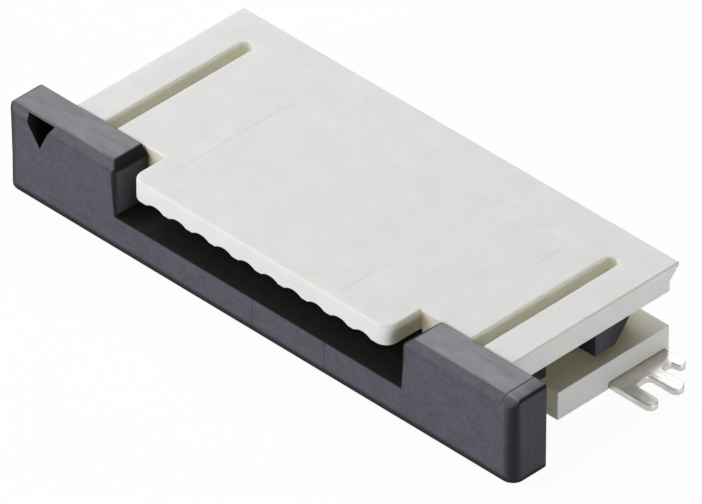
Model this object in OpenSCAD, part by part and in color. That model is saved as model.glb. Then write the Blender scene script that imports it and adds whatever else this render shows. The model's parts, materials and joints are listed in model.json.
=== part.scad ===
// Slider-lock connector for flat flexible cable: right-angle, surface mount, drawn in millimetres.
// X runs along the row of contacts, Y from the cable's mouth to the rear, Z up from the board.
// The slider is drawn pushed home. It opens towards -Y.

/* [Circuits] */
// Number of circuits
circuits = 10; // [4:1:16]
// Distance between neighbouring contacts
pitch = 1; // [0.85:0.05:1.25]

/* [Cable] */
// Width of the cable outside the outermost guide ribs, on each side
cable_edge = 0.5; // [0.4:0.05:0.8]
// Thickness of the cable's stiffened end
cable_t = 0.3; // [0.2:0.05:0.4]
// Clearance between the cable and each wall of its cavity
cable_gap = 0.1; // [0.05:0.05:0.2]

/* [Slider] */
// Width of each end block
block_w = 4.8; // [4.2:0.1:6]
// Depth of the end blocks and of the bar between them
block_d = 1.5; // [1.2:0.1:2]
// Height of the end blocks' top above the board
block_top = 3.3; // [3.15:0.05:3.7]
// Height of the bar's top above the board
bar_top = 1.4; // [1.25:0.05:1.55]
// Space between the housing's lip and each end block
mouth_gap = 0.65; // [0.4:0.05:1]
// Depth of the chamfer along the end blocks' front top edges
chamfer_d = 0.3; // [0.1:0.05:0.4]
// Height of the chamfer along the end blocks' front top edges
chamfer_h = 0.25; // [0.1:0.05:0.4]
// Chamfer along the end blocks' inner top edges
inner_chamfer = 0.3; // [0.05:0.05:0.4]
// Radius of the slider's outer vertical corners
corner_r = 0.45; // [0.2:0.05:0.6]
// Height at which the slider runs above the board
board_gap = 0.15; // [0.05:0.05:0.25]
// Length of the tongue behind the bar
tongue_reach = 4; // [3.2:0.1:4.2]
// Thickness of the tongue
tongue_t = 0.45; // [0.35:0.05:0.5]
// Thickness of the tongue's tip
tongue_tip_t = 0.2; // [0.15:0.05:0.3]
// Length of the tongue's tapered tip
tongue_taper = 1; // [0.5:0.1:1.5]
// How far the slider travels between home and open
travel = 0.9; // [0.6:0.05:1]

/* [Slider arms] */
// Thickness of each latching arm
arm_t = 0.45; // [0.35:0.05:0.55]
// Height of each latching arm
arm_h = 0.95; // [0.7:0.05:1.05]
// How far the arm's root stands out from the rest of the arm
root_out = 0.35; // [0.2:0.05:0.4]
// How far the hook stands out from the arm
hook_out = 0.7; // [0.5:0.05:0.75]
// Length of the hook's straight side
hook_flat = 0.9; // [0.4:0.05:1]
// Length of the hook's tapered nose
hook_nose = 1.45; // [1.2:0.05:1.7]
// Width of the hook's blunt tip
hook_tip = 0.4; // [0.2:0.05:0.45]
// Radius of the fillet where each arm leaves its block
arm_fillet = 0.3; // [0.1:0.05:0.4]

/* [Circuit-one mark] */
// Width of the triangular recess
mark_w = 1.15; // [0.8:0.05:1.3]
// Height of the triangular recess
mark_h = 0.95; // [0.6:0.05:1.1]
// Depth of the triangular recess
mark_depth = 0.5; // [0.3:0.05:0.6]
// Distance from the block's outer side to the recess
mark_inset = 0.8; // [0.7:0.05:1.2]

/* [Housing] */
// Thickness of the lip over the cable's mouth
lip_t = 0.75; // [0.6:0.05:0.85]
// Radius of the lip's front corners
lip_r = 0.45; // [0.3:0.05:0.9]
// How far the lip reaches beyond the cable on each side
lip_side = 0.05; // [0:0.05:0.2]
// How far the lip's edge stays behind the slider's face
lip_back = 0.05; // [0:0.05:0.4]
// Width of each shoulder beside the lip
shoulder_w = 3.9; // [3.5:0.1:4.6]
// Depth of the top plate from its shoulders to the rear
plate_d = 7.3; // [7.15:0.05:8.5]
// Thickness of the top plate over the arm channels
plate_t = 0.9; // [0.8:0.05:1.1]
// How far the top plate overhangs the body at the rear
overhang = 0.4; // [0.2:0.05:0.6]
// Thickness of the overhang's edge
overhang_edge = 0.12; // [0.08:0.02:0.3]
// Thickness of the side ledges
ledge_t = 1.05; // [0.9:0.05:1.15]
// Distance from the shoulders to the ledges' front ends
ledge_setback = 2; // [1.7:0.1:2.1]
// Height of the arm channels
channel_h = 1.3; // [1.25:0.05:1.5]
// Width of the arm channels
channel_w = 1.8; // [1.75:0.05:2.2]
// Thickness of the floor under the contacts
floor_t = 0.3; // [0.2:0.05:0.4]
// Thickness of the body behind the cable's cavity
rear_wall = 2.55; // [2.2:0.05:2.7]
// Clearance at the sliding faces
run_gap = 0.08; // [0.05:0.01:0.12]
// Gap between the shoulders and the closed slider
home_gap = 0.03; // [0.02:0.01:0.06]

/* [Stop ribs] */
// Width of the ribs under the top plate that stop the hooks
stop_w = 0.35; // [0.25:0.05:0.4]
// Depth of the stop ribs
stop_d = 0.4; // [0.3:0.05:0.6]
// Height of the stop ribs
stop_h = 0.5; // [0.3:0.05:0.6]
// Distance from the plate's side to the stop ribs
stop_inset = 0.5; // [0.4:0.05:0.55]
// Distance from the ledges' front ends to the stop ribs
stop_setback = 0.5; // [0.3:0.05:0.7]

/* [Relief slots] */
// Width of the slots over the arm channels
relief_w = 0.55; // [0.35:0.05:0.6]
// Distance from the slots' ends to the plate's rear edge
relief_stop = 1.2; // [1:0.05:2]

/* [Guide ribs] */
// Width of the scallop between neighbouring ribs
scallop_w = 0.72; // [0.6:0.02:0.8]
// Depth of the scallop
scallop_depth = 0.12; // [0.06:0.02:0.2]
// Distance that the scallops run back under the lip
scallop_run = 1; // [0.6:0.1:1.4]

/* [Contacts] */
// Thickness of the contact strip
contact_t = 0.25; // [0.2:0.05:0.3]
// Clearance between a contact and each wall of its slot
slot_gap = 0.02; // [0.01:0.01:0.04]
// Depth of the contact's root in the rear wall
root_d = 1.5; // [1.2:0.1:1.8]
// Height of the spring beam at its root
beam_root_h = 0.5; // [0.4:0.05:0.6]
// Height of the spring beam at its nose
beam_nose_h = 0.24; // [0.2:0.02:0.3]
// Height of the slots above the roof of the cavity
slot_rise = 0.35; // [0.25:0.05:0.4]
// Distance from the cavity's end to the contact point
point_reach = 3.3; // [2.6:0.1:3.4]
// Radius of the contact point
point_r = 0.16; // [0.12:0.02:0.2]
// Squeeze of the contact point on the cable
preload = 0.1; // [0.05:0.01:0.15]
// Length of the solder tail behind the body
tail_out = 0.9; // [0.6:0.1:1.2]
// Height of the solder tail
tail_h = 0.25; // [0.2:0.05:0.3]

/* [Solder tabs] */
// Thickness of the tab's sheet
tab_t = 0.25; // [0.2:0.05:0.3]
// Width of each prong
prong_w = 0.6; // [0.45:0.05:0.65]
// Distance between the two prongs
prong_pitch = 1.15; // [1:0.05:1.3]
// Distance from the ledge's side to the prongs' tips
prong_out = 1.75; // [1.4:0.05:2.2]
// Distance from the ledge's side to the tab's web
web_out = 0.6; // [0.4:0.05:0.9]
// Depth of the tab inside the ledge
tab_in = 1; // [0.6:0.1:1.1]
// Distance from the tab to the body's rear face
tab_rear = 0.05; // [0.05:0.05:0.4]
// Distance from the rear lobe's tip to the web
lobe_out = 0.35; // [0.2:0.05:0.5]

/* [Hidden] */
$fn = 48;
eps = 0.01;

// Widths from the middle of the row outwards
rib_half = circuits * pitch / 2;
cable_half = rib_half + cable_edge;
lip_half = cable_half + lip_side;
cavity_half = cable_half + cable_gap;
mouth_half = lip_half + mouth_gap;
slider_half = mouth_half + block_w;
plate_half = lip_half + shoulder_w;
core_half = plate_half - channel_w;

// Heights above the board
under_z = ledge_t + channel_h;
plate_top = under_z + plate_t;
roof_z = plate_top - lip_t;
slot_top = roof_z + slot_rise;
tongue_z = bar_top - tongue_t;
cavity_floor = tongue_z - run_gap;
lower_top = cavity_floor - run_gap;
point_z = bar_top + cable_t - preload;
arm_z = under_z - run_gap - arm_h;

// Depths behind the slider's front face
shoulder_y = block_d + home_gap;
plate_rear = shoulder_y + plate_d;
body_rear = plate_rear - overhang;
cavity_end = body_rear - rear_wall;
root_rear = cavity_end + root_d;
ledge_y = shoulder_y + ledge_setback;
stop_y = ledge_y + stop_setback;
hook_y = stop_y + stop_d + travel + home_gap;
arm_rear = hook_y + hook_flat + hook_nose;
point_y = cavity_end - point_reach;
total_d = body_rear + tail_out;

// The arms run inside the stop ribs by the sliding clearance
stop_x = plate_half - stop_inset - stop_w;
arm_out = stop_x - run_gap;
arm_in = arm_out - arm_t;

function contact_name(i) = str("contact_", i < 10 ? "0" : "", i);
function contact_x(i) = (i - (circuits + 1) / 2) * pitch;

// Puts the middle of the part's depth over the origin
module placed() {
    translate([0, -total_d / 2, 0])
        children();
}

// Extrudes a side view, drawn as [y, z], from x by a length along X
module side_view(x, length) {
    translate([x, 0, 0])
        rotate([90, 0, 90])
            linear_extrude(length)
                children();
}

// Extrudes a front view, drawn as [x, z], from y by a length along Y
module front_view(y, length) {
    translate([0, y + length, 0])
        rotate([90, 0, 0])
            linear_extrude(length)
                children();
}

module both_sides() {
    children();
    mirror([1, 0, 0])
        children();
}

// ---- Housing ----

// Side view of the top plate, whose rear edge overhangs on a 45 degree slope
module plate_outline() {
    polygon([
        [shoulder_y, under_z],
        [body_rear, under_z],
        [body_rear, plate_top - overhang_edge - overhang],
        [plate_rear, plate_top - overhang_edge],
        [plate_rear, plate_top],
        [shoulder_y, plate_top]
    ]);
}

// Plan of the lip: it runs back under the shoulders and has rounded front corners
module lip_outline() {
    corner_x = lip_half - lip_r;
    corner_y = lip_back + lip_r;
    translate([-lip_half, corner_y])
        square([2 * lip_half, shoulder_y + eps - corner_y]);
    translate([-corner_x, lip_back])
        square([2 * corner_x, lip_r + eps]);
    for (side = [-1, 1])
        translate([side * corner_x, corner_y])
            circle(lip_r);
}

module body_shell() {
    side_view(-plate_half, 2 * plate_half)
        plate_outline();
    translate([-core_half, shoulder_y, 0])
        cube([2 * core_half, body_rear - shoulder_y, plate_top - eps]);
    translate([0, 0, roof_z])
        linear_extrude(lip_t)
            lip_outline();
    both_sides()
        side_frame();
}

// Ledge under an arm channel and the stop rib that hangs from the top plate over it
module side_frame() {
    translate([core_half - eps, ledge_y, 0])
        cube([channel_w + eps, body_rear - ledge_y, ledge_t]);
    translate([stop_x, stop_y, under_z - stop_h])
        cube([stop_w, stop_d, stop_h + eps]);
}

// The cable's cavity, open to the front
module cavity() {
    translate([-cavity_half, shoulder_y - eps, cavity_floor])
        cube([2 * cavity_half, cavity_end - shoulder_y + eps, roof_z - cavity_floor]);
}

// One contact's slot: over the cavity, under it, through the rear wall and down to the board
module contact_slot(x) {
    slot_w = contact_t + 2 * slot_gap;
    slot_front = point_y - 3 * point_r - run_gap;
    side_view(x - slot_w / 2, slot_w) {
        translate([slot_front, roof_z - eps])
            square([body_rear + eps - slot_front, slot_rise + eps]);
        translate([shoulder_y - eps, floor_t])
            square([cavity_end - shoulder_y + 2 * eps, cavity_floor - floor_t + eps]);
        translate([cavity_end, floor_t])
            square([rear_wall + eps, slot_top - floor_t]);
        translate([root_rear - tail_h, -eps])
            square([body_rear + eps - root_rear + tail_h, floor_t + 2 * eps]);
    }
}

// A shallow scallop under the lip, in line with a contact
module lip_scallop(x) {
    chord = scallop_w / 2;
    arc_r = (chord * chord + scallop_depth * scallop_depth) / (2 * scallop_depth);
    translate([x, lip_back - eps, roof_z + scallop_depth - arc_r])
        rotate([-90, 0, 0])
            cylinder(h = scallop_run + eps, r = arc_r);
}

// Slot through the top plate along the inner wall of an arm channel
module relief_slot() {
    slot_x = core_half + relief_w / 2;
    end_y = plate_rear - relief_stop - relief_w / 2;
    translate([0, 0, under_z - eps])
        linear_extrude(plate_t + 2 * eps) {
            translate([core_half, shoulder_y - eps])
                square([relief_w, end_y - shoulder_y + eps]);
            translate([slot_x, end_y])
                circle(relief_w / 2);
        }
}

module housing() {
    color("ivory")
        placed()
            difference() {
                body_shell();
                cavity();
                for (i = [1 : circuits]) {
                    contact_slot(contact_x(i));
                    lip_scallop(contact_x(i));
                }
                both_sides() {
                    relief_slot();
                    tab_pocket();
                }
            }
}

// ---- Slider ----

// Front view of one end block, with its inner top edge chamfered
module block_front() {
    polygon([
        [mouth_half, board_gap],
        [slider_half, board_gap],
        [slider_half, block_top],
        [mouth_half + inner_chamfer, block_top],
        [mouth_half, block_top - inner_chamfer]
    ]);
}

// Side view of an end block, with its front top edge chamfered
module block_side() {
    polygon([
        [0, board_gap],
        [block_d, board_gap],
        [block_d, block_top],
        [chamfer_d, block_top],
        [0, block_top - chamfer_h]
    ]);
}

// Plan of the slider's front: a bar with rounded outer corners
module front_plan() {
    corner_x = slider_half - corner_r;
    translate([-slider_half, corner_r])
        square([2 * slider_half, block_d - corner_r]);
    translate([-corner_x, 0])
        square([2 * corner_x, corner_r + eps]);
    for (side = [-1, 1])
        translate([side * corner_x, corner_r])
            circle(corner_r);
}

// Bar and end blocks: the plan and the two side views cut each other
module slider_front() {
    intersection() {
        linear_extrude(block_top)
            front_plan();
        union() {
            translate([-mouth_half - eps, 0, board_gap])
                cube([2 * (mouth_half + eps), block_d, bar_top - board_gap]);
            intersection() {
                both_sides()
                    front_view(0, block_d)
                        block_front();
                side_view(-slider_half, 2 * slider_half)
                    block_side();
            }
        }
    }
}

// The tongue that lifts the cable against the contact points
module tongue() {
    tip_y = block_d + tongue_reach;
    tongue_half = cavity_half - run_gap;
    side_view(-tongue_half, 2 * tongue_half)
        polygon([
            [block_d - eps, tongue_z],
            [tip_y - tongue_taper, tongue_z],
            [tip_y, tongue_z],
            [tip_y, tongue_z + tongue_tip_t],
            [tip_y - tongue_taper, bar_top],
            [block_d - eps, bar_top]
        ]);
}

// A latching arm: a beam with a stout root, whose hook faces forwards on its outer side
module arm() {
    nose_y = hook_y + hook_flat;
    root_x = arm_out + root_out;
    root_y = stop_y - run_gap;
    translate([0, 0, arm_z])
        linear_extrude(arm_h)
            difference() {
                polygon([
                    [arm_in - arm_fillet, block_d - eps],
                    [root_x, block_d - eps],
                    [root_x, root_y - root_out],
                    [arm_out, root_y],
                    [arm_out, hook_y],
                    [arm_out + hook_out, hook_y],
                    [arm_out + hook_out, nose_y],
                    [arm_in + hook_tip, arm_rear],
                    [arm_in, arm_rear],
                    [arm_in, block_d + arm_fillet],
                    [arm_in - arm_fillet, block_d]
                ]);
                translate([arm_in - arm_fillet, block_d + arm_fillet])
                    circle(arm_fillet);
            }
}

// Triangular recess, point down, in the left block's face
module circuit_one_mark() {
    left = -slider_half + mark_inset;
    top = block_top - chamfer_h / 4;
    front_view(-eps, mark_depth + eps)
        polygon([
            [left, top],
            [left + mark_w * 0.6, top - mark_h],
            [left + mark_w, top]
        ]);
}

module slider() {
    color("dimgray")
        placed()
            difference() {
                union() {
                    slider_front();
                    tongue();
                    both_sides()
                        arm();
                }
                circuit_one_mark();
            }
}

// ---- Contacts ----

// Side view of the spring beam: it dips to the contact point and turns up at its nose
module spring_beam() {
    beam_top = slot_top - run_gap;
    buried_y = cavity_end + root_d / 2;
    bend_z = point_z + point_r;
    nose_y = point_y - 2 * point_r;
    nose_z = bend_z + 1.5 * point_r;
    polygon([
        [cavity_end, beam_top],
        [point_y, bend_z + beam_nose_h],
        [nose_y, nose_z + beam_nose_h],
        [nose_y - point_r, nose_z],
        [point_y - point_r * 0.8, bend_z - point_r * 0.4],
        [point_y + point_r * 0.8, bend_z - point_r * 0.4],
        [cavity_end, beam_top - beam_root_h],
        [buried_y, beam_top - beam_root_h],
        [buried_y, beam_top]
    ]);
    translate([point_y, bend_z])
        circle(point_r);
}

// Side view of the tail: it leaves the root, drops to the board and runs out to a round end
module tail() {
    foot_l = body_rear + tail_out - tail_h / 2 - root_rear;
    translate([root_rear - tail_h, 0])
        square([foot_l + tail_h, tail_h]);
    translate([root_rear + foot_l, tail_h / 2])
        circle(tail_h / 2);
    translate([root_rear - tail_h, 0])
        square([2 * tail_h, floor_t + tail_h]);
}

// Side view of the stamped fork
module contact_outline() {
    lower_front = shoulder_y + run_gap;
    translate([cavity_end, floor_t])
        square([root_d, slot_top - floor_t]);
    translate([lower_front, floor_t])
        square([root_rear - lower_front, lower_top - floor_t]);
    spring_beam();
    tail();
}

module contact(i) {
    color("silver")
        placed()
            side_view(contact_x(i) - contact_t / 2, contact_t)
                contact_outline();
}

// ---- Solder tabs ----

// Plan of the right-hand tab: a base inside the ledge, a web along its side and two prongs
module tab_outline() {
    base_rear = body_rear - tab_rear;
    web_y = base_rear - tab_length();
    translate([plate_half - tab_in, web_y])
        square([tab_in + web_out, tab_length()]);
    for (k = [0, 1])
        translate([plate_half, web_y + k * prong_pitch]) {
            square([prong_out - prong_w / 2, prong_w]);
            translate([prong_out - prong_w / 2, prong_w / 2])
                circle(prong_w / 2);
        }
    translate([plate_half + web_out + lobe_out - prong_w / 2, base_rear - prong_w / 2])
        circle(prong_w / 2);
    translate([plate_half, base_rear - prong_w])
        square([web_out + lobe_out - prong_w / 2, prong_w]);
}

function tab_length() = 2 * prong_pitch + prong_w / 2;

// Pocket in the underside of a ledge that takes the tab's base
module tab_pocket() {
    base_rear = body_rear - tab_rear;
    translate([plate_half - tab_in, base_rear - tab_length(), -eps])
        cube([tab_in + eps, tab_length(), tab_t + eps]);
}

module solder_tab() {
    color("lightgray")
        placed()
            linear_extrude(tab_t)
                tab_outline();
}

module solder_tab_right() {
    solder_tab();
}

module solder_tab_left() {
    mirror([1, 0, 0])
        solder_tab();
}

housing();
slider();
for (i = [1 : circuits])
    contact(i);
solder_tab_left();
solder_tab_right();
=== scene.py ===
import json
import math

import bmesh
import bpy
from mathutils import Matrix, Vector


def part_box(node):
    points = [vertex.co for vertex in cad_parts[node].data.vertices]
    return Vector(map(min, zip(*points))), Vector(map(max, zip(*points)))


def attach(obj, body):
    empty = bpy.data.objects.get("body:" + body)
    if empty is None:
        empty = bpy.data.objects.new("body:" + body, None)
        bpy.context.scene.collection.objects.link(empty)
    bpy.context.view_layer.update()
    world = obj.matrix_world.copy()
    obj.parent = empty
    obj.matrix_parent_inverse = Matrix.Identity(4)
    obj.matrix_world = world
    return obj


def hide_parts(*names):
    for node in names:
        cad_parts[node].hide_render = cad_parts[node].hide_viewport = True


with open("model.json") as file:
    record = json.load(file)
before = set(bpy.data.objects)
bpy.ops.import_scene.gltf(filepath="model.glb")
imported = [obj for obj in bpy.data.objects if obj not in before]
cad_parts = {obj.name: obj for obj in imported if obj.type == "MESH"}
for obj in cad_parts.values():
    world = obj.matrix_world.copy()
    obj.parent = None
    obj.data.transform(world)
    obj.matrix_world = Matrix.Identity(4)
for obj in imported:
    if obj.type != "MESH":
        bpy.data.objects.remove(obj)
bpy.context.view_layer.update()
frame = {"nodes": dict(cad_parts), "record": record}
print("frame loaded:", len(frame["nodes"]), "nodes")


cameraSettings = {
    "turn": 44.757,       # degrees round from the front, towards the last circuit
    "lift": 36.563,       # degrees above the board
    "roll": 0.117,
    "away": 0.47895,      # metres from the point aimed at
    "lens": 798.04,
    "aim": (0.000117, -0.00068, 0.001278),
    "nearest": 0.01,
    "farthest": 5,
}


def addCamera(settings):
    turn = math.radians(settings["turn"])
    lift = math.radians(settings["lift"])
    back = Vector((math.sin(turn) * math.cos(lift), -math.cos(turn) * math.cos(lift),
                   math.sin(lift)))
    bpy.ops.object.camera_add(location=Vector(settings["aim"]) + back * settings["away"])
    camera = bpy.context.object
    camera.name = "camera"
    camera.rotation_mode = "QUATERNION"
    roll = Matrix.Rotation(math.radians(settings["roll"]), 4, "Z").to_quaternion()
    camera.rotation_quaternion = back.to_track_quat("Z", "Y") @ roll
    camera.data.lens = settings["lens"]
    camera.data.clip_start = settings["nearest"]
    camera.data.clip_end = settings["farthest"]
    bpy.context.scene.camera = camera


addCamera(cameraSettings)


# finishes: every size in them is in metres

def newFinish(name):
    finish = bpy.data.materials.new(name)
    finish.use_nodes = True
    tree = finish.node_tree
    shader = tree.nodes["Principled BSDF"]
    place = tree.nodes.new("ShaderNodeTexCoord")
    return finish, tree, shader, place


def addNoise(tree, place, scale, detail=4, stretch=None):
    noise = tree.nodes.new("ShaderNodeTexNoise")
    noise.inputs["Scale"].default_value = scale
    noise.inputs["Detail"].default_value = detail
    source = place.outputs["Object"]
    if stretch:
        mapping = tree.nodes.new("ShaderNodeMapping")
        mapping.inputs["Scale"].default_value = stretch
        tree.links.new(source, mapping.inputs["Vector"])
        source = mapping.outputs["Vector"]
    tree.links.new(source, noise.inputs["Vector"])
    return noise.outputs["Fac"]


def addRamp(tree, source, low, high, start=0.3, end=0.7):
    ramp = tree.nodes.new("ShaderNodeValToRGB")
    ramp.color_ramp.elements[0].position = start
    ramp.color_ramp.elements[1].position = end
    ramp.color_ramp.elements[0].color = (*low, 1)
    ramp.color_ramp.elements[1].color = (*high, 1)
    tree.links.new(source, ramp.inputs["Fac"])
    return ramp.outputs["Color"]


def addBump(tree, source, shader, strength, depth, under=None):
    bump = tree.nodes.new("ShaderNodeBump")
    bump.inputs["Strength"].default_value = strength
    bump.inputs["Distance"].default_value = depth
    tree.links.new(source, bump.inputs["Height"])
    if under:
        tree.links.new(under, bump.inputs["Normal"])
    tree.links.new(bump.outputs["Normal"], shader.inputs["Normal"])
    return bump.outputs["Normal"]


def addMath(tree, how, *values):
    # each value is an output or a plain number
    step = tree.nodes.new("ShaderNodeMath")
    step.operation = how
    for socket, value in zip(step.inputs, values):
        if isinstance(value, (int, float)):
            socket.default_value = value
        else:
            tree.links.new(value, socket)
    return step.outputs[0]


def times(tree, first, *others):
    for value in others:
        first = addMath(tree, "MULTIPLY", first, value)
    return first


def most(tree, first, *others):
    for value in others:
        first = addMath(tree, "MAXIMUM", first, value)
    return first


def opposite(tree, value):
    return addMath(tree, "SUBTRACT", 1.0, value)


def farFrom(tree, value, place):
    return addMath(tree, "ABSOLUTE", addMath(tree, "SUBTRACT", value, place))


def addRange(tree, source, start, end, low=0.0, high=1.0):
    # a soft step from low at start to high at end
    step = tree.nodes.new("ShaderNodeMapRange")
    step.interpolation_type = "SMOOTHSTEP"
    tree.links.new(source, step.inputs["Value"])
    sockets = ("From Min", "From Max", "To Min", "To Max")
    for socket, value in zip(sockets, (start, end, low, high)):
        step.inputs[socket].default_value = value
    return step.outputs["Result"]


def addMix(tree, share, first, second):
    mix = tree.nodes.new("ShaderNodeMix")
    mix.data_type = "RGBA"
    # sockets 6 and 7 take the two colours
    for socket, value in ((0, share), (6, first), (7, second)):
        if isinstance(value, (int, float)):
            mix.inputs[socket].default_value = value
        elif isinstance(value, tuple):
            mix.inputs[socket].default_value = (*value, 1)
        else:
            tree.links.new(value, mix.inputs[socket])
    return mix.outputs[2]


def addParts(tree, source):
    parts = tree.nodes.new("ShaderNodeSeparateXYZ")
    tree.links.new(source, parts.inputs[0])
    return parts.outputs


def addRecess(tree, reach, closed, opened, samples=8):
    # 1 where a surface is sheltered within this reach, 0 in the open; the finishes paint shade with
    # it
    shelter = tree.nodes.new("ShaderNodeAmbientOcclusion")
    shelter.samples = samples
    shelter.inputs["Distance"].default_value = reach
    return addRange(tree, shelter.outputs["AO"], closed, opened, 1.0, 0.0)


def grey(value):
    return (value, value, value)


housingFinishSettings = {
    "pale": ((0.75, 0.752, 0.738), (0.79, 0.792, 0.78)),
    "cloudScale": 900,
    # painted shade: this colour goes into the recesses, and slotShade goes inside the relief slots
    "paintedShadeColour": (0.86, 0.79, 0.52),
    "shelter": (0.0026, 0.1, 0.85),       # reach of the painted shade, then how closed and how open
    "slotShade": (0.93, 0.915, 0.79),     # inside the relief slots
    "slotFrom": (0.0072, 0.0076),
    "slotAbove": (0.0020, 0.0024),
    # faint moulding lines: place across the row, half width, start and end along the depth
    "lines": (
        (-0.00475, 0.00005, -0.0040, 0.0018),
        (0.0032, 0.00004, -0.0044, -0.0026),
        (0.00645, 0.00004, 0.0003, 0.0025),
    ),
    "lineCore": 0.3,      # share of the half width that has the full depth
    "lineFade": 0.0004,
    "lineDepth": 0.000008,
    "lineBump": 0.6,
    "lineGrey": 0.3,
    "lineShade": 0.08,
    "roughScale": 2500,
    "rough": (0.42, 0.56),
    "grain": (14000, 5),
    "grainBump": (0.25, 0.000012),
    "glow": (0.25, (1.0, 0.9, 0.55), 0.0005),     # light that passes under the surface
}


def housingFinish():
    s = housingFinishSettings
    finish, tree, shader, place = newFinish("ivory_moulding")
    where = addParts(tree, place.outputs["Object"])
    cloud = addRamp(tree, addNoise(tree, place, s["cloudScale"]), *s["pale"])
    lines = 0.0
    for at, half, start, end in s["lines"]:
        across = addRange(tree, farFrom(tree, where[0], at), half, half * s["lineCore"])
        along = times(tree, addRange(tree, where[1], start, start + s["lineFade"]),
                      addRange(tree, where[1], end, end - s["lineFade"]))
        lines = most(tree, times(tree, across, along), lines)
    cloud = addMix(tree, times(tree, lines, s["lineShade"]), cloud, grey(s["lineGrey"]))
    inSlot = times(tree, addRange(tree, addMath(tree, "ABSOLUTE", where[0]), *s["slotFrom"]),
                   addRange(tree, where[2], *s["slotAbove"]))
    shade = addMix(tree, inSlot, s["paintedShadeColour"], s["slotShade"])
    # painted shade mixed into the colour where the surface is sheltered
    coloured = addMix(tree, addRecess(tree, *s["shelter"]), cloud, shade)
    tree.links.new(coloured, shader.inputs["Base Color"])
    rough = addRamp(tree, addNoise(tree, place, s["roughScale"]), *map(grey, s["rough"]))
    tree.links.new(rough, shader.inputs["Roughness"])
    grooves = addBump(tree, opposite(tree, lines), shader, s["lineBump"], s["lineDepth"])
    addBump(tree, addNoise(tree, place, *s["grain"]), shader, *s["grainBump"], grooves)
    weight, radius, scale = s["glow"]
    shader.inputs["Subsurface Weight"].default_value = weight
    shader.inputs["Subsurface Radius"].default_value = radius
    shader.inputs["Subsurface Scale"].default_value = scale
    return finish


sliderFinishSettings = {
    "fill": ((0.050, 0.050, 0.070), (0.078, 0.078, 0.106)),
    "fillRange": (0.36, 0.64),
    "fine": (7000, 5, (0.8, 1.3, 1.3)),
    "wide": (1300, 4),
    "fineShare": 0.62,
    "paintedLightColour": (0.212, 0.205, 0.228),      # painted light on the tops of the end blocks
    "paintedLightFrom": (0.00285, 0.00305),
    "paintedLightUp": (0.78, 0.97),
    "paintedLightNoise": (2600, 6, (0.35, 1.2, 1.2)),
    "paintedLightRange": (0.2, 0.62, 0.55, 1.0),
    "seam": (0.01043, 0.00008, 0.35),     # right block's moulding line: place, half width, and the share of painted top light left on it, which paints its groove's shade
    "inner": (0.0053, 0.0061),            # painted highlight on the mouth's right edge
    "innerFade": 0.0001,
    "innerTurn": ((-0.2, -0.5), (-0.3, -0.5)),
    "innerShare": 0.45,
    "leftBlock": (-0.0050, -0.0054),      # its top gets less painted light, its side by the lip a painted highlight
    "leftLightLess": 0.17,
    "leftLift": 0.32,
    "lipSide": (0.8, 0.95),
    "shadeAndLineDark": (0.007, 0.007, 0.008),        # painted shade at the outer corners, end faces and lower edges; the bar's moulding lines use this dark too
    "endShadeFrom": (0.0098, 0.0108),
    "cornerShadeCurve": (1.95, 0.65),
    "endShare": 0.5,
    "lowerTurn": (-0.1, -0.4),
    "lowerEdge": (0.00052, 0.00030),
    "gateLines": ((-0.0002, 0.00005), (0.0029, 0.00006)),     # upright lines on the bar's front
    "gateCore": 0.4,
    "gateTurn": (-0.7, -0.9),
    "gateShare": 0.45,
    # painted shade in the recesses, on the cable's bed and on the arms
    "paintedShadeColour": (0.0085, 0.009, 0.0065),
    "shelter": (0.003, 0.15, 0.55),
    "bedTurn": (0.6, 0.9),            # the cable's bed is painted darkest, as shade
    "bedBelow": (0.0019, 0.0016),
    "bedShare": 0.95,
    "armFrom": (-0.0032, -0.0031),    # and so do the arms up to their hooks
    "armTo": (0.0006, 0.0003),
    "armShare": 0.9,
    "gloss": (0.30, 0.44),
    "glossNoise": (3800, 5, (0.5, 1.4, 1.4)),
    "shadeRough": 0.75,
    "recessRough": 0.9,
    "grain": (9000, 5, (0.7, 1.3, 1.3)),
    "grainBump": (0.35, 0.000014),
    "shine": 0.28,
}


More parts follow.
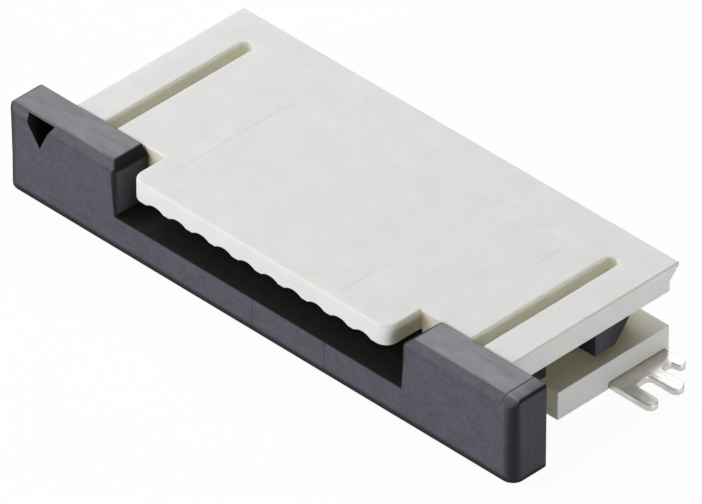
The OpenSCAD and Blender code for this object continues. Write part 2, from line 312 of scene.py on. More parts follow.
def sliderFinish():
    s = sliderFinishSettings
    finish, tree, shader, place = newFinish("charcoal_moulding")
    turn = addParts(tree, place.outputs["Normal"])
    where = addParts(tree, place.outputs["Object"])
    both = addMath(tree, "ADD", times(tree, addNoise(tree, place, *s["fine"]), s["fineShare"]),
                   times(tree, addNoise(tree, place, *s["wide"]), 1 - s["fineShare"]))
    filled = addRamp(tree, both, *s["fill"], *s["fillRange"])

    # painted highlight on the mouth's right edge
    innerFrom, innerTo = s["inner"]
    innerHighlight = times(tree, addRange(tree, turn[0], *s["innerTurn"][0]),
                 addRange(tree, turn[1], *s["innerTurn"][1]),
                 addRange(tree, where[0], innerFrom, innerFrom + s["innerFade"]),
                 addRange(tree, where[0], innerTo + s["innerFade"], innerTo))

    # painted shade where the outer corners turn, along the lower edges and on the end faces
    sideways = addMath(tree, "ABSOLUTE", turn[0])
    forwards = addMath(tree, "SQRT", opposite(tree, times(tree, sideways, sideways)))
    gain, power = s["cornerShadeCurve"]
    turned = addMath(tree, "POWER", times(tree, sideways, forwards, gain), power)
    corner = times(tree, turned, opposite(tree, innerHighlight))
    outer = addRange(tree, addMath(tree, "ABSOLUTE", where[0]), *s["endShadeFrom"])
    ends = times(tree, sideways, s["endShare"], outer)
    lower = most(tree, addRange(tree, turn[2], *s["lowerTurn"]),
                 addRange(tree, where[2], *s["lowerEdge"]))
    shadeAndLineDark = addMath(tree, "MINIMUM", most(tree, corner, ends, lower), 1.0)

    # painted light on the tops, left off along the moulding line so that it shows as a painted dark
    # line
    seamAt, seamHalf, seamLeast = s["seam"]
    paintedLight = times(tree, addRange(tree, turn[2], *s["paintedLightUp"]),
                addRange(tree, where[2], *s["paintedLightFrom"]),
                addRange(tree, farFrom(tree, where[0], seamAt), seamHalf, 0.0, 1.0, seamLeast),
                addRange(tree, addNoise(tree, place, *s["paintedLightNoise"]), *s["paintedLightRange"]))
    onLeft = addRange(tree, where[0], *s["leftBlock"])
    paintedLight = times(tree, paintedLight, opposite(tree, times(tree, onLeft, s["leftLightLess"])))
    lipSide = times(tree, addRange(tree, turn[0], *s["lipSide"]), onLeft)
    paintedLight = most(tree, paintedLight, times(tree, innerHighlight, s["innerShare"]), times(tree, lipSide, s["leftLift"]))
    coloured = addMix(tree, shadeAndLineDark, addMix(tree, paintedLight, filled, s["paintedLightColour"]), s["shadeAndLineDark"])

    # moulding lines on the bar's front, in the same dark as the painted shade
    for at, half in s["gateLines"]:
        far = farFrom(tree, where[0], at)
        line = times(tree, addRange(tree, far, half, half * s["gateCore"]),
                     addRange(tree, turn[1], *s["gateTurn"]), s["gateShare"])
        coloured = addMix(tree, line, coloured, s["shadeAndLineDark"])

    # painted shade: in the recesses, on the cable's bed and on the arms
    bed = times(tree, addRange(tree, turn[2], *s["bedTurn"]),
                addRange(tree, where[2], *s["bedBelow"]), s["bedShare"])
    arms = times(tree, addRange(tree, where[1], *s["armFrom"]),
                 addRange(tree, where[1], *s["armTo"]), s["armShare"])
    paintedShade = most(tree, addRecess(tree, *s["shelter"]), bed, arms)
    tree.links.new(addMix(tree, paintedShade, coloured, s["paintedShadeColour"]), shader.inputs["Base Color"])
    gloss = addRamp(tree, addNoise(tree, place, *s["glossNoise"]), *map(grey, s["gloss"]))
    gloss = addMix(tree, shadeAndLineDark, gloss, grey(s["shadeRough"]))
    gloss = addMix(tree, paintedShade, gloss, grey(s["recessRough"]))
    tree.links.new(gloss, shader.inputs["Roughness"])
    addBump(tree, addNoise(tree, place, *s["grain"]), shader, *s["grainBump"])
    shader.inputs["Specular IOR Level"].default_value = s["shine"]
    return finish


metalSettings = {
    "contact": {
        "colours": ((0.50, 0.48, 0.43), (0.62, 0.60, 0.55)),
        "stretch": (1, 0.2, 1),
        "paintedShadeColour": (0.24, 0.21, 0.15),
    },
    "tab": {
        "colours": ((0.66, 0.645, 0.61), (0.78, 0.765, 0.735)),
        "stretch": (0.25, 1, 1),
        "paintedShadeColour": (0.17, 0.14, 0.075),
    },
    "cloudScale": 3500,
    "shelter": (0.0009, 0.2, 0.75),
    "brushed": (5200, 5),
    "rough": (0.34, 0.5),
    "grain": (9000, 5),
    "grainBump": (0.3, 0.00001),
}


def metalFinish(name, kind):
    s = metalSettings
    colours, stretch, paintedShadeColour = (s[kind][key] for key in ("colours", "stretch", "paintedShadeColour"))
    finish, tree, shader, place = newFinish(name)
    cloud = addRamp(tree, addNoise(tree, place, s["cloudScale"]), *colours)
    # painted shade where the metal is sheltered
    coloured = addMix(tree, addRecess(tree, *s["shelter"]), cloud, paintedShadeColour)
    tree.links.new(coloured, shader.inputs["Base Color"])
    brushed = addNoise(tree, place, *s["brushed"], stretch)
    tree.links.new(addRamp(tree, brushed, *map(grey, s["rough"])), shader.inputs["Roughness"])
    addBump(tree, addNoise(tree, place, *s["grain"], stretch), shader, *s["grainBump"])
    shader.inputs["Metallic"].default_value = 1.0
    return finish


def giveFinish(piece, slot):
    piece.data.materials.clear()
    piece.data.materials.append(finishes[slot])


finishes = {
    "housing_plastic": housingFinish(),
    "slider_plastic": sliderFinish(),
    "contact_metal": metalFinish("tin_plated_strip", "contact"),
    "tab_metal": metalFinish("tin_plated_sheet", "tab"),
}
for subpart in frame["record"]["subparts"]:
    giveFinish(frame["nodes"][subpart["node"]], subpart["material_slot"])
print("finishes made:", len(finishes))


# pieces: modelled in millimetres, and brought to metres when they are finished

perMetre = 1000
near = 0.01         # a point this close to a plane lies on it
facing = 0.9        # least share of a direction along an axis
beyond = 1.0        # how far a cutter reaches past what it cuts
overlap = 0.05      # between the parts of one cutter
flatLeft = 0.004    # kept between two roundings, so that they don't cross
meshSettings = {
    "merged": 0.0005,
    "sliver": 0.0003,
    "cut": 0.00001,
    "holeSides": 12,
    "flat": 0.4,            # degrees between faces that become one
    "smooth": 32,           # and between faces that are shaded as one
    "sortedFrom": (31.3, -17.9, 23.7),      # no two points are equally far from here
}
bpy.context.scene.cursor.location = meshSettings["sortedFrom"]


def millimetres(node):
    low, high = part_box(node)
    return Vector(low) * perMetre, Vector(high) * perMetre


def deselectAll():
    if bpy.context.object and bpy.context.object.mode != "OBJECT":
        bpy.ops.object.mode_set(mode="OBJECT")
    bpy.ops.object.select_all(action="DESELECT")


def pick(piece):
    deselectAll()
    piece.select_set(True)
    bpy.context.view_layer.objects.active = piece


def named(name):
    piece = bpy.context.object
    piece.name = piece.data.name = name
    bpy.ops.object.transform_apply(location=True, rotation=True, scale=True)
    return piece


def addBlock(name, low, high):
    low, high = Vector(low), Vector(high)
    deselectAll()
    bpy.ops.mesh.primitive_cube_add(size=1, location=(low + high) / 2)
    bpy.context.object.scale = high - low
    return named(name)


def addRod(name, centre, radius, length, sides):
    # lies along the depth
    deselectAll()
    bpy.ops.mesh.primitive_cylinder_add(vertices=sides, radius=radius, depth=length,
                                        location=centre, rotation=(math.radians(90), 0, 0))
    return named(name)


def edit(piece, kind="FACE"):
    pick(piece)
    bpy.ops.object.mode_set(mode="EDIT")
    bpy.ops.mesh.select_mode(type=kind)
    bpy.ops.mesh.select_all(action="DESELECT")


def editAll(piece):
    edit(piece, "VERT")
    bpy.ops.mesh.select_all(action="SELECT")


def done():
    # new points come in any order: they are sorted, so that every run gives the same mesh
    bpy.ops.mesh.select_all(action="SELECT")
    bpy.ops.mesh.sort_elements(type="CURSOR_DISTANCE", elements={"VERT", "EDGE", "FACE"})
    bpy.ops.object.mode_set(mode="OBJECT")


def selectFaces(piece, test):
    edit(piece, "FACE")
    mesh = bmesh.from_edit_mesh(piece.data)
    for face in mesh.faces:
        if test(face.calc_center_median(), face.normal):
            face.select_set(True)
    bmesh.update_edit_mesh(piece.data)


def selectEdges(piece, test):
    edit(piece, "EDGE")
    mesh = bmesh.from_edit_mesh(piece.data)
    for edge in mesh.edges:
        a, b = edge.verts[0].co, edge.verts[1].co
        if test((a + b) / 2, (b - a).normalized()):
            edge.select_set(True)
    bmesh.update_edit_mesh(piece.data)


def selectPoints(piece, test):
    edit(piece, "VERT")
    mesh = bmesh.from_edit_mesh(piece.data)
    for point in mesh.verts:
        if test(point.co):
            point.select_set(True)
    bmesh.update_edit_mesh(piece.data)


def cutLine(piece, place, across, trim=False):
    editAll(piece)
    bpy.ops.mesh.bisect(plane_co=place, plane_no=across, use_fill=trim, clear_outer=trim,
                        threshold=meshSettings["cut"])
    done()


def cutAt(piece, axis, *places):
    across = [0, 0, 0]
    across[axis] = 1
    for value in places:
        cutLine(piece, [value * share for share in across], across)


def extrude(by):
    bpy.ops.mesh.extrude_region_move(TRANSFORM_OT_translate={"value": by})


def move(by):
    bpy.ops.transform.translate(value=by)


def merge(distance):
    bpy.ops.mesh.remove_doubles(threshold=distance)


def bevelEdges(piece, test, width, segments=1):
    selectEdges(piece, test)
    bpy.ops.mesh.bevel(offset=width, segments=segments, affect="EDGES", clamp_overlap=False)
    done()


def applyAll(piece):
    pick(piece)
    for modifier in list(piece.modifiers):
        bpy.ops.object.modifier_apply(modifier=modifier.name)


def combine(piece, other, how):
    modifier = piece.modifiers.new(how.lower(), "BOOLEAN")
    modifier.operation = how
    modifier.solver = "EXACT"
    modifier.object = other
    applyAll(piece)
    editAll(piece)
    done()
    bpy.data.objects.remove(other, do_unlink=True)


def copyOf(piece, name, by=(0, 0, 0)):
    twin = piece.copy()
    twin.data = piece.data.copy()
    twin.name = twin.data.name = name
    bpy.context.collection.objects.link(twin)
    twin.data.transform(Matrix.Translation(by))
    return twin


def repeated(piece, places):
    # one piece made of copies along the row; the pattern itself goes
    copies = [copyOf(piece, "%s_%d" % (piece.name, k), (x, 0, 0)) for k, x in enumerate(places)]
    bpy.data.objects.remove(piece, do_unlink=True)
    deselectAll()
    for twin in copies:
        twin.select_set(True)
    bpy.context.view_layer.objects.active = copies[0]
    bpy.ops.object.join()
    return copies[0]


def mirrorHalf(piece):
    selectFaces(piece, lambda c, n: abs(c.x) < near and abs(n.x) > facing)
    bpy.ops.mesh.delete(type="FACE")
    done()
    modifier = piece.modifiers.new("mirror", "MIRROR")
    modifier.use_clip = True
    modifier.merge_threshold = meshSettings["merged"]
    applyAll(piece)


def tidyMesh(piece):
    editAll(piece)
    merge(meshSettings["merged"])
    bpy.ops.mesh.dissolve_limited(angle_limit=math.radians(meshSettings["flat"]))
    bpy.ops.mesh.normals_make_consistent(inside=False)
    done()


def soften(piece, width, segments=2, angle=38, clamp=False):
    modifier = piece.modifiers.new("soften", "BEVEL")
    modifier.width = width
    modifier.segments = segments
    modifier.limit_method = "ANGLE"
    modifier.angle_limit = math.radians(angle)
    modifier.miter_outer = "MITER_ARC"
    modifier.use_clamp_overlap = clamp
    applyAll(piece)
    editAll(piece)
    done()


def closeMesh(piece):
    # no slivers, no holes, and every face outwards
    editAll(piece)
    bpy.ops.mesh.dissolve_degenerate(threshold=meshSettings["sliver"])
    bpy.ops.mesh.select_all(action="SELECT")
    bpy.ops.mesh.fill_holes(sides=meshSettings["holeSides"])
    bpy.ops.mesh.select_all(action="SELECT")
    bpy.ops.mesh.normals_make_consistent(inside=False)
    if bmesh.from_edit_mesh(piece.data).calc_volume(signed=True) < 0:
        bpy.ops.mesh.flip_normals()
    done()


def finishPiece(piece, body, slot, nodes):
    closeMesh(piece)
    pick(piece)
    piece.data.transform(Matrix.Scale(1 / perMetre, 4))
    bpy.ops.object.shade_smooth_by_angle(angle=math.radians(meshSettings["smooth"]))
    # the large faces stay flat beside their rounded edges
    even = piece.modifiers.new("even", "WEIGHTED_NORMAL")
    even.keep_sharp = True
    applyAll(piece)
    giveFinish(piece, slot)
    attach(piece, body)
    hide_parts(*nodes)
    print(piece.name, "modelled:", len(piece.data.polygons), "faces")


sliderSettings = {
    "blockWidth": 4.8,
    "depth": 1.5,
    "barHeight": 1.25,
    "chamferDepth": 0.3,
    "chamferHeight": 0.25,
    "innerChamfer": 0.3,
    "cornerRadius": 0.45,
    "tongueHalf": 5.52,
    "tongueThick": 0.45,
    "tongueReach": 4.0,
    "tongueTaper": 1.0,
    "tipThick": 0.2,
    "armIn": 8.07,
    "armOut": 8.52,
    "armLow": 1.32,
    "armHigh": 2.27,
    "rootOut": 0.35,
    "rootEnd": 3.95,      # behind the slider's front, as is the hook's start
    "hookStart": 5.36,
    "hookOut": 0.7,
    "hookFlat": 0.9,
    "noseOut": 8.49,      # outer side of the nose's tip
    "noseIn": 0.12,       # how far its inner part leans in
    "filletRadius": 0.3,
    "mouthEdge": 0.18,    # rounding of the mouth's upright edges
    "outerEdge": 0.13,    # rounding of the outer edges
    "lowerRounded": 0.5,  # depth over which the lower edges are rounded
    "edge": 0.05,
    "seamInset": 0.6,
    "seamWidth": 0.07,
    "seamDepth": 0.015,
}
markSettings = {"left": 0.8, "width": 1.15, "height": 0.95, "depth": 0.8, "below": 0.06,
                "lean": 0.6}


def modelSlider():
    s = sliderSettings
    low, high = millimetres("slider")
    front, under, top = low.y, low.z, high.z
    mouth = high.x - s["blockWidth"]
    back = front + s["depth"]
    barTop = under + s["barHeight"]
    tongueLow = barTop - s["tongueThick"]
    piece = addBlock("slider_body", (0, front, under), (high.x, back, barTop))

    # end block, its rounded outer corner and its chamfers
    cutAt(piece, 0, mouth)
    selectFaces(piece, lambda c, n: n.z > facing and c.x > mouth)
    extrude((0, 0, top - barTop))
    cutLine(piece, (0, front, top - s["chamferHeight"]),
            (0, -s["chamferHeight"], s["chamferDepth"]), trim=True)
    bevelEdges(piece, lambda c, d: abs(c.x - mouth) < near and abs(c.z - top) < near,
               s["innerChamfer"])
    upright = lambda d: abs(d.z) > facing
    atSide = lambda c: c.x > high.x - near
    atFront = lambda c: c.y < front + near
    bevelEdges(piece, lambda c, d: upright(d) and atSide(c) and atFront(c), s["cornerRadius"],
               segments=8)

    # tongue with its tapered tip
    cutAt(piece, 0, s["tongueHalf"])
    cutAt(piece, 2, tongueLow)
    selectFaces(piece, lambda c, n: n.y > facing and c.x < s["tongueHalf"] and c.z > tongueLow
                and c.y > back - near)
    extrude((0, s["tongueReach"] - s["tongueTaper"], 0))
    extrude((0, s["tongueTaper"], 0))
    selectPoints(piece, lambda p: p.y > back + s["tongueReach"] - near and p.z > barTop - near)
    move((0, 0, s["tipThick"] - s["tongueThick"]))
    done()

    # arm: stout root, straight beam, hook and tapered nose
    rootX = s["armOut"] + s["rootOut"]
    rootY = front + s["rootEnd"]
    hookY = front + s["hookStart"]
    noseY = hookY + s["hookFlat"]
    onArmSide = lambda x: abs(x - s["armOut"]) < near
    cutAt(piece, 0, s["armIn"], rootX)
    cutAt(piece, 2, s["armLow"], s["armHigh"])
    inArm = lambda c: s["armIn"] < c.x < rootX and s["armLow"] < c.z < s["armHigh"]
    selectFaces(piece, lambda c, n: n.y > facing and inArm(c))
    extrude((0, rootY - s["rootOut"] - back, 0))
    extrude((0, s["rootOut"], 0))
    selectPoints(piece, lambda p: abs(p.y - rootY) < near and p.x > s["armOut"])
    move((-s["rootOut"], 0, 0))
    selectFaces(piece, lambda c, n: n.y > facing and inArm(c) and c.y > rootY - near)
    extrude((0, hookY - rootY, 0))
    extrude((0, s["hookFlat"], 0))
    selectFaces(piece, lambda c, n: n.x > facing and c.y > hookY and onArmSide(c.x))
    extrude((s["hookOut"], 0, 0))
    selectFaces(piece, lambda c, n: n.y > facing and c.y > noseY - near and c.x > s["armIn"])
    extrude((0, high.y - noseY, 0))
    selectPoints(piece, lambda p: p.y > high.y - near and p.x > s["armOut"] + s["hookOut"] - near)
    move((s["noseOut"] - s["armOut"] - s["hookOut"], 0, 0))
    selectPoints(piece, lambda p: p.y > high.y - near and onArmSide(p.x))
    move((-s["noseIn"], 0, 0))
    done()
    tidyMesh(piece)
    bevelEdges(piece, lambda c, d: upright(d) and abs(c.x - s["armIn"]) < near
               and c.y < back + near, s["filletRadius"], segments=6)
    bevelEdges(piece, lambda c, d: upright(d) and abs(c.x - mouth) < near and atFront(c),
               s["mouthEdge"], segments=5)
    sideEdge = lambda c: atSide(c) and (c.y > back - near or c.z > top - near)
    lowerEdge = lambda c: (abs(c.z - under) < near and c.x > near
                           and (c.y < front + s["lowerRounded"] or atSide(c)))
    bevelEdges(piece, lambda c, d: sideEdge(c) or lowerEdge(c), s["outerEdge"], segments=4)
    mirrorHalf(piece)
    tidyMesh(piece)
    soften(piece, s["edge"], segments=3)

    # circuit-one mark, cut with a wedge that points down
    m = markSettings
    left, markTop = low.x + m["left"], top - m["below"]
    wedge = addBlock("mark_wedge", (left, front - beyond, markTop - m["height"]),
                     (left + m["width"], front + m["depth"], markTop))
    selectPoints(wedge, lambda p: p.z < markTop - near and p.x < left + near)
    move((m["width"] * m["lean"], 0, 0))
    selectPoints(wedge, lambda p: p.z < markTop - near and p.x > left + m["width"] - near)
    move((-m["width"] * (1 - m["lean"]), 0, 0))
    editAll(wedge)
    merge(near)
    done()
    combine(piece, wedge, "DIFFERENCE")

    # moulding line across the right block's top, along the chamfer as well
    seamX = high.x - s["seamInset"]
    seam = addBlock("seam", (seamX, front - beyond, top - s["seamDepth"]),
                    (seamX + s["seamWidth"], back + beyond, top + beyond))
    cutAt(seam, 1, front + s["chamferDepth"])
    selectPoints(seam, lambda p: p.y < front and p.z < top)
    move((0, 0, -s["chamferHeight"] * (beyond + s["chamferDepth"]) / s["chamferDepth"]))
    done()
    combine(piece, seam, "DIFFERENCE")
    finishPiece(piece, "slider", "slider_plastic", ["slider"])


housingSettings = {
    "lipHalf": 5.55,
    "lipThick": 0.75,
    "lipRadius": 0.45,
    "coreHalf": 7.65,
    "shoulder": 1.48,     # behind the lip's edge
    "plateThick": 0.9,
    "overhang": 0.4,
    "overhangEdge": 0.12,
    "ledgeThick": 1.05,
    "ledgeSetback": 2.0,
    "ribX": 8.6,
    "ribWidth": 0.35,
    "ribDepth": 0.4,
    "ribHeight": 0.5,
    "ribSetback": 0.5,
    "cavityHalf": 5.6,
    "cavityFloor": 0.87,
    "rearWall": 2.55,
    "reliefWidth": 0.55,
    "reliefStop": 1.2,
    "reliefFlat": 0.002,    # left between the two roundings of the slot's end
    "topEdge": 0.075,
    "edge": 0.04,
    "pocketShort": 0.12,    # wall left behind the solder tab's base
    "crowded": 0.03,        # points closer than this merge where scallops and slots meet
}
slotSettings = {"pitch": 1.0, "width": 0.29, "floor": 0.3, "rise": 0.35, "noseReach": 3.86,
                "rootDepth": 1.5, "tailHigh": 0.25}
scallopSettings = {"width": 0.72, "depth": 0.12, "run": 1.0, "sides": 64}


def contactNodes():
    return sorted(name for name in frame["nodes"] if name.startswith("contact_"))


def addSlot(shoulder, cavityEnd, bodyRear, roof):
    # nose space over the cavity, root, groove in the cavity's floor and opening for the tail
    t = slotSettings
    half, rear = t["width"] / 2, bodyRear + beyond
    grooveTop = housingSettings["cavityFloor"] + overlap
    tailFront = cavityEnd + t["rootDepth"] - t["tailHigh"]
    slot = addBlock("slot", (-half, cavityEnd - t["noseReach"], roof - overlap),
                    (half, rear, roof + t["rise"]))
    for name, low, high in (
        ("slot_rear", (cavityEnd, t["floor"]), (rear, roof)),
        ("slot_low", (shoulder - beyond, t["floor"]), (cavityEnd + overlap, grooveTop)),
        ("slot_tail", (tailFront, -beyond), (rear, t["floor"] + overlap)),
    ):
        combine(slot, addBlock(name, (-half, *low), (half, *high)), "UNION")
    return slot


def addScallop(lipFront, roof):
    # a rod whose inner end runs out on a slope
    t = scallopSettings
    depth, run = t["depth"], t["run"]
    arc = ((t["width"] / 2) ** 2 + depth ** 2) / (2 * depth)
    axisZ = roof + depth - arc
    scallop = addRod("scallop", (0, lipFront + (run - beyond) / 2, axisZ), arc, run + beyond,
                     t["sides"])
    selectFaces(scallop, lambda c, n: n.y > facing)
    extrude((0, depth * 2, 0))
    smaller = 1 - depth / arc
    bpy.ops.transform.resize(value=(smaller, 1, smaller),
                             center_override=(0, lipFront + run, axisZ))
    done()
    return scallop


def modelHousing():
    s = housingSettings
    low, high = millimetres("housing")
    lipFront, plateTop, halfWide = low.y, high.z, high.x
    shoulder = lipFront + s["shoulder"]
    bodyRear = high.y - s["overhang"]
    under = plateTop - s["plateThick"]
    roof = plateTop - s["lipThick"]
    cavityEnd = bodyRear - s["rearWall"]
    piece = addBlock("housing_body", (0, shoulder, under), (halfWide, bodyRear, plateTop))

    # rear overhang on a 45 degree slope
    slopeTop = plateTop - s["overhangEdge"]
    cutAt(piece, 2, slopeTop - s["overhang"])
    selectFaces(piece, lambda c, n: n.y > facing and c.z > slopeTop - s["overhang"])
    extrude((0, s["overhang"], 0))
    selectPoints(piece, lambda p: p.y > bodyRear + near and p.z < slopeTop - near)
    move((0, 0, s["overhang"]))
    done()

    # lip over the cable's mouth, with rounded corners
    cutAt(piece, 0, s["lipHalf"])
    cutAt(piece, 2, roof)
    selectFaces(piece, lambda c, n: n.y < -facing and c.x < s["lipHalf"] and c.z > roof)
    extrude((0, lipFront - shoulder, 0))
    upright = lambda d: abs(d.z) > facing
    bevelEdges(piece, lambda c, d: upright(d) and c.y < lipFront + near
               and c.x > s["lipHalf"] - near, s["lipRadius"], segments=8)

    # core, then the side ledge and the stop rib over it
    cutAt(piece, 0, s["coreHalf"])
    selectFaces(piece, lambda c, n: n.z < -facing and c.x < s["coreHalf"] and c.z < under + near)
    extrude((0, 0, -under))
    ledgeY = shoulder + s["ledgeSetback"]
    cutAt(piece, 1, ledgeY)
    cutAt(piece, 2, s["ledgeThick"])
    selectFaces(piece, lambda c, n: n.x > facing and c.z < s["ledgeThick"] and c.y > ledgeY
                and abs(c.x - s["coreHalf"]) < near)
    extrude((halfWide - s["coreHalf"], 0, 0))
    ribX, ribY = s["ribX"], ledgeY + s["ribSetback"]
    cutAt(piece, 0, ribX, ribX + s["ribWidth"])
    cutAt(piece, 1, ribY, ribY + s["ribDepth"])
    selectFaces(piece, lambda c, n: n.z < -facing and abs(c.z - under) < near
                and ribX < c.x < ribX + s["ribWidth"] and ribY < c.y < ribY + s["ribDepth"])
    extrude((0, 0, -s["ribHeight"]))
    done()
    tidyMesh(piece)

    # cable cavity, then the contact slots and the scallops along the row
    combine(piece, addBlock("cavity", (-beyond, shoulder - beyond / 2, s["cavityFloor"]),
                            (s["cavityHalf"], cavityEnd, roof)), "DIFFERENCE")
    slot = addSlot(shoulder, cavityEnd, bodyRear, roof)
    scallop = addScallop(lipFront, roof)
    places = [(k + 0.5) * slotSettings["pitch"] for k in range(len(contactNodes()) // 2)]
    combine(piece, repeated(slot, places), "DIFFERENCE")
    combine(piece, repeated(scallop, places), "DIFFERENCE")

    # relief slot with a round end
    slotEnd = high.y - s["reliefStop"]
    rounding = s["reliefWidth"] / 2 - s["reliefFlat"]
    relief = addBlock("relief", (s["coreHalf"], shoulder - beyond, under - beyond / 2),
                      (s["coreHalf"] + s["reliefWidth"], slotEnd, plateTop + beyond / 2))
    bevelEdges(relief, lambda c, d: upright(d) and c.y > slotEnd - near, rounding, segments=10)
    cutAt(piece, 1, slotEnd - rounding)     # where the round end starts
    combine(piece, relief, "DIFFERENCE")

    # pocket that takes the solder tab's base
    tabLow, tabHigh = millimetres("solder_tab_right")
    combine(piece, addBlock("tab_pocket", (tabLow.x, tabLow.y, -beyond),
                            (halfWide + beyond, tabHigh.y - s["pocketShort"], tabHigh.z)),
            "DIFFERENCE")
    mirrorHalf(piece)
    tidyMesh(piece)
    onRim = lambda c: c.y < shoulder + near or abs(c.x) > halfWide - near
    bevelEdges(piece, lambda c, d: c.z > plateTop - near and onRim(c), s["topEdge"], segments=4)
    soften(piece, s["edge"])
    # crowded points where the scallops run into the contact slots
    runOut = lipFront + scallopSettings["run"]
    selectPoints(piece, lambda p: abs(p.y - runOut) < s["crowded"]
                 and abs(p.z - roof) < s["crowded"])
    merge(s["crowded"])
    done()
    finishPiece(piece, "housing", "housing_plastic", ["housing"])


contactSettings = {
    "lowTop": 0.79,
    "beamHigh": 0.5,
    "beamTop": 2.77,
    "beamSteps": 6,
    "pointReach": 3.3,
    "pointLow": 1.6,
    "pointRadius": 0.16,
    "beamShort": 0.13,    # the beam ends this far behind the contact point
    "beamLow": 0.06,
    "noseHigh": 0.24,
    "noseSteps": ((-0.08, -0.08), (-0.09, 0.0), (-0.1, 0.08), (-0.17, 0.16)),
    "tailFillet": 0.15,
    "edge": 0.02,
    "edgeFrom": 30,       # degrees between the faces whose edge is softened
}


def modelContacts():
    s = contactSettings
    floor, tailHigh = slotSettings["floor"], slotSettings["tailHigh"]
    names = contactNodes()
    low, high = millimetres(names[0])
    bodyRear = millimetres("housing")[1].y - housingSettings["overhang"]
    cavityEnd = bodyRear - housingSettings["rearWall"]
    rootRear = cavityEnd + slotSettings["rootDepth"]
    piece = addBlock("contact", (low.x, cavityEnd, floor), (high.x, rootRear, high.z))

    # lower beam lies on the cavity's floor
    startLow, startTop = s["beamTop"] - s["beamHigh"], s["beamTop"]
    cutAt(piece, 2, s["lowTop"], startLow, startTop)
    selectFaces(piece, lambda c, n: n.y < -facing and c.z < s["lowTop"])
    extrude((0, low.y - cavityEnd, 0))

    # spring beam narrows towards the contact point and turns up at its nose
    bend = s["pointLow"] + s["pointRadius"]
    endLow, endTop = bend - s["beamLow"], bend + s["noseHigh"]
    length, steps = s["pointReach"] - s["beamShort"], s["beamSteps"]
    selectFaces(piece, lambda c, n: n.y < -facing and startLow < c.z < startTop
                and c.y > cavityEnd - near)
    for k in range(steps):
        extrude((0, -length / steps, 0))
    done()
    for k in range(1, steps + 1):
        share = k / steps
        y = cavityEnd - length * share
        for start, end in ((startTop, endTop), (startLow, endLow)):
            selectPoints(piece, lambda p: abs(p.y - y) < near and abs(p.z - start) < near)
            move((0, 0, (end - start) * share))
    done()
    selectFaces(piece, lambda c, n: n.y < -facing and c.y < cavityEnd - length + near
                and c.z > s["lowTop"] + near)
    for y, z in s["noseSteps"]:
        extrude((0, y, z))
    done()

    # tail drops to the board and runs out behind the body
    cutAt(piece, 1, rootRear - tailHigh)
    selectFaces(piece, lambda c, n: n.z < -facing and c.y > rootRear - tailHigh
                and c.z < floor + near)
    extrude((0, 0, -floor))
    cutAt(piece, 2, tailHigh)
    selectFaces(piece, lambda c, n: n.y > facing and c.z < tailHigh)
    extrude((0, high.y - rootRear, 0))
    done()
    tidyMesh(piece)
    across = lambda d: abs(d.x) > facing
    bevelEdges(piece, lambda c, d: across(d) and abs(c.y - rootRear) < near
               and abs(c.z - tailHigh) < near, s["tailFillet"], segments=5)
    bevelEdges(piece, lambda c, d: across(d) and c.y > high.y - near, tailHigh / 2 - flatLeft,
               segments=6)
    soften(piece, s["edge"], angle=s["edgeFrom"], clamp=True)
    for name in names:
        start = millimetres(name)[0].x
        twin = copyOf(piece, "stamped_" + name, (start - low.x, 0, 0))
        finishPiece(twin, "housing", "contact_metal", [name])
    bpy.data.objects.remove(piece, do_unlink=True)


tabSettings = {
    "prongWidth": 0.5,
    "prongPitch": 1.15,
    "webOut": 0.6,
    "lobeWidth": 0.34,
    "lobeOut": 0.36,
    "webFillet": 0.16,
    "edge": 0.035,
    "edgeFrom": 30,
}


def modelTabs():
    s = tabSettings
    low, high = millimetres("solder_tab_right")
    web = millimetres("housing")[1].x + s["webOut"]
    width = s["prongWidth"]
    secondY = low.y + s["prongPitch"]
    rear = high.y - housingSettings["pocketShort"]
    lobeY = rear - s["lobeWidth"]
    piece = addBlock("solder_tab", (low.x, low.y, low.z), (web, rear, high.z))
    cutAt(piece, 1, low.y + width, secondY, secondY + width, lobeY)
    inProng = lambda c: c.y < low.y + width or secondY < c.y < secondY + width
    selectFaces(piece, lambda c, n: n.x > facing and inProng(c))
    extrude((high.x - web, 0, 0))
    selectFaces(piece, lambda c, n: n.x > facing and c.y > lobeY and c.x < web + near)
    extrude((s["lobeOut"], 0, 0))
    done()
    tidyMesh(piece)
    upright = lambda d: abs(d.z) > facing
    for endX, endWidth in ((high.x, width), (web + s["lobeOut"], s["lobeWidth"])):
        bevelEdges(piece, lambda c, d: upright(d) and abs(c.x - endX) < near,
                   endWidth / 2 - flatLeft, segments=8)
    bevelEdges(piece, lambda c, d: upright(d) and abs(c.x - web) < near
               and low.y + near < c.y < lobeY + near, s["webFillet"], segments=5)
    soften(piece, s["edge"], angle=s["edgeFrom"], clamp=True)
    left = copyOf(piece, "solder_tab_left_metal")
    left.data.transform(Matrix.Scale(-1, 4, (1, 0, 0)))
    piece.name = piece.data.name = "solder_tab_right_metal"
    finishPiece(piece, "housing", "tab_metal", ["solder_tab_right"])
    finishPiece(left, "housing", "tab_metal", ["solder_tab_left"])


modelSlider()
modelHousing()
modelContacts()
modelTabs()


studioSettings = {
    "worldLevel": 0.04,
    "floorSize": 0.8,
    "floorDrop": 0.00001,
    "floorColour": (0.9, 0.9, 0.9),
    "floorRough": 0.9,
    "floorShine": 0.1,
    "whiteShare": 0.96,     # how much of the floor is seen as plain white; the rest is shaded
    "mirroredShare": 0.75,  # the same for what plastic and metal mirror
    "lamps": {
        "leftPanel": {"place": (-0.178, 0.014, 0.2), "wide": 0.46, "long": 0.17, "power": 0.94},
        "front": {"place": (-0.07, -0.27, 0.06), "wide": 0.16, "long": 0.1, "power": 0.38},
        "right": {"place": (0.27, -0.02, 0.055), "wide": 0.16, "long": 0.1, "power": 0.3},
    },
}


def setWorld(settings):
    world = bpy.data.worlds.new("studio")
    bpy.context.scene.world = world
    world.use_nodes = True
    lit = world.node_tree.nodes["Background"]
    lit.inputs["Color"].default_value = (1, 1, 1, 1)
    lit.inputs["Strength"].default_value = settings["worldLevel"]


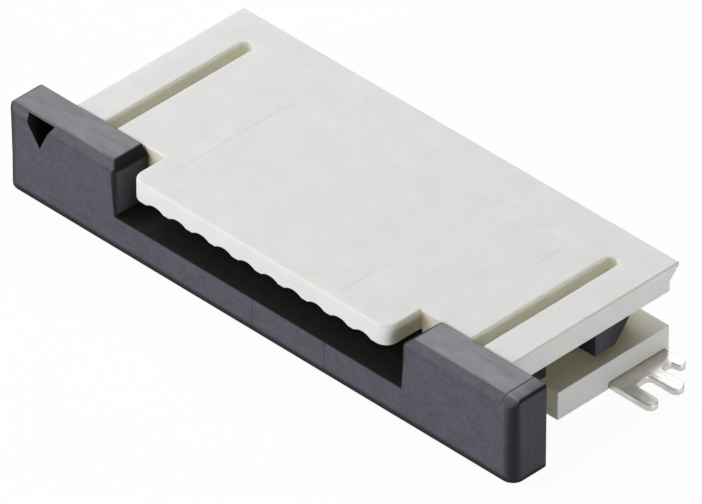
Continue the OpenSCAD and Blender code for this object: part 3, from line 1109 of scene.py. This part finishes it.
def addLamp(name, settings):
    place = Vector(settings["place"])
    bpy.ops.object.light_add(type="AREA", location=place)
    lamp = bpy.context.object
    lamp.name = name
    lamp.data.shape = "RECTANGLE"
    lamp.data.size = settings["wide"]
    lamp.data.size_y = settings["long"]
    lamp.data.energy = settings["power"]
    lamp.rotation_mode = "QUATERNION"
    lamp.rotation_quaternion = place.to_track_quat("Z", "Y")


def plainWhite(tree, lit, settings):
    # camera, glossy and see-through rays meet a white floor; all others meet the lit surface
    path = tree.nodes.new("ShaderNodeLightPath")
    seen = times(tree, path.outputs["Is Camera Ray"], settings["whiteShare"])
    mirrored = most(tree, path.outputs["Is Glossy Ray"], path.outputs["Is Transmission Ray"])
    rays = most(tree, seen, times(tree, mirrored, settings["mirroredShare"]))
    white = tree.nodes.new("ShaderNodeEmission")
    white.inputs["Strength"].default_value = 1
    mix = tree.nodes.new("ShaderNodeMixShader")
    tree.links.new(rays, mix.inputs[0])
    tree.links.new(lit, mix.inputs[1])
    tree.links.new(white.outputs[0], mix.inputs[2])
    tree.links.new(mix.outputs[0], tree.nodes["Material Output"].inputs["Surface"])


def addFloor(settings):
    deselectAll()
    bpy.ops.mesh.primitive_plane_add(size=settings["floorSize"],
                                     location=(0, 0, -settings["floorDrop"]))
    floor = bpy.context.object
    floor.name = "floor"
    bpy.ops.object.transform_apply(location=True, rotation=False, scale=False)
    finish = bpy.data.materials.new("white_table")
    finish.use_nodes = True
    shader = finish.node_tree.nodes["Principled BSDF"]
    shader.inputs["Base Color"].default_value = (*settings["floorColour"], 1)
    shader.inputs["Roughness"].default_value = settings["floorRough"]
    shader.inputs["Specular IOR Level"].default_value = settings["floorShine"]
    plainWhite(finish.node_tree, shader.outputs[0], settings)
    floor.data.materials.append(finish)
    floor.visible_shadow = False    # so that it shelters nothing


deselectAll()
setWorld(studioSettings)
for lampName, lampSettings in studioSettings["lamps"].items():
    addLamp(lampName, lampSettings)
addFloor(studioSettings)
bpy.context.scene.view_settings.view_transform = "Standard"
print("studio lit")
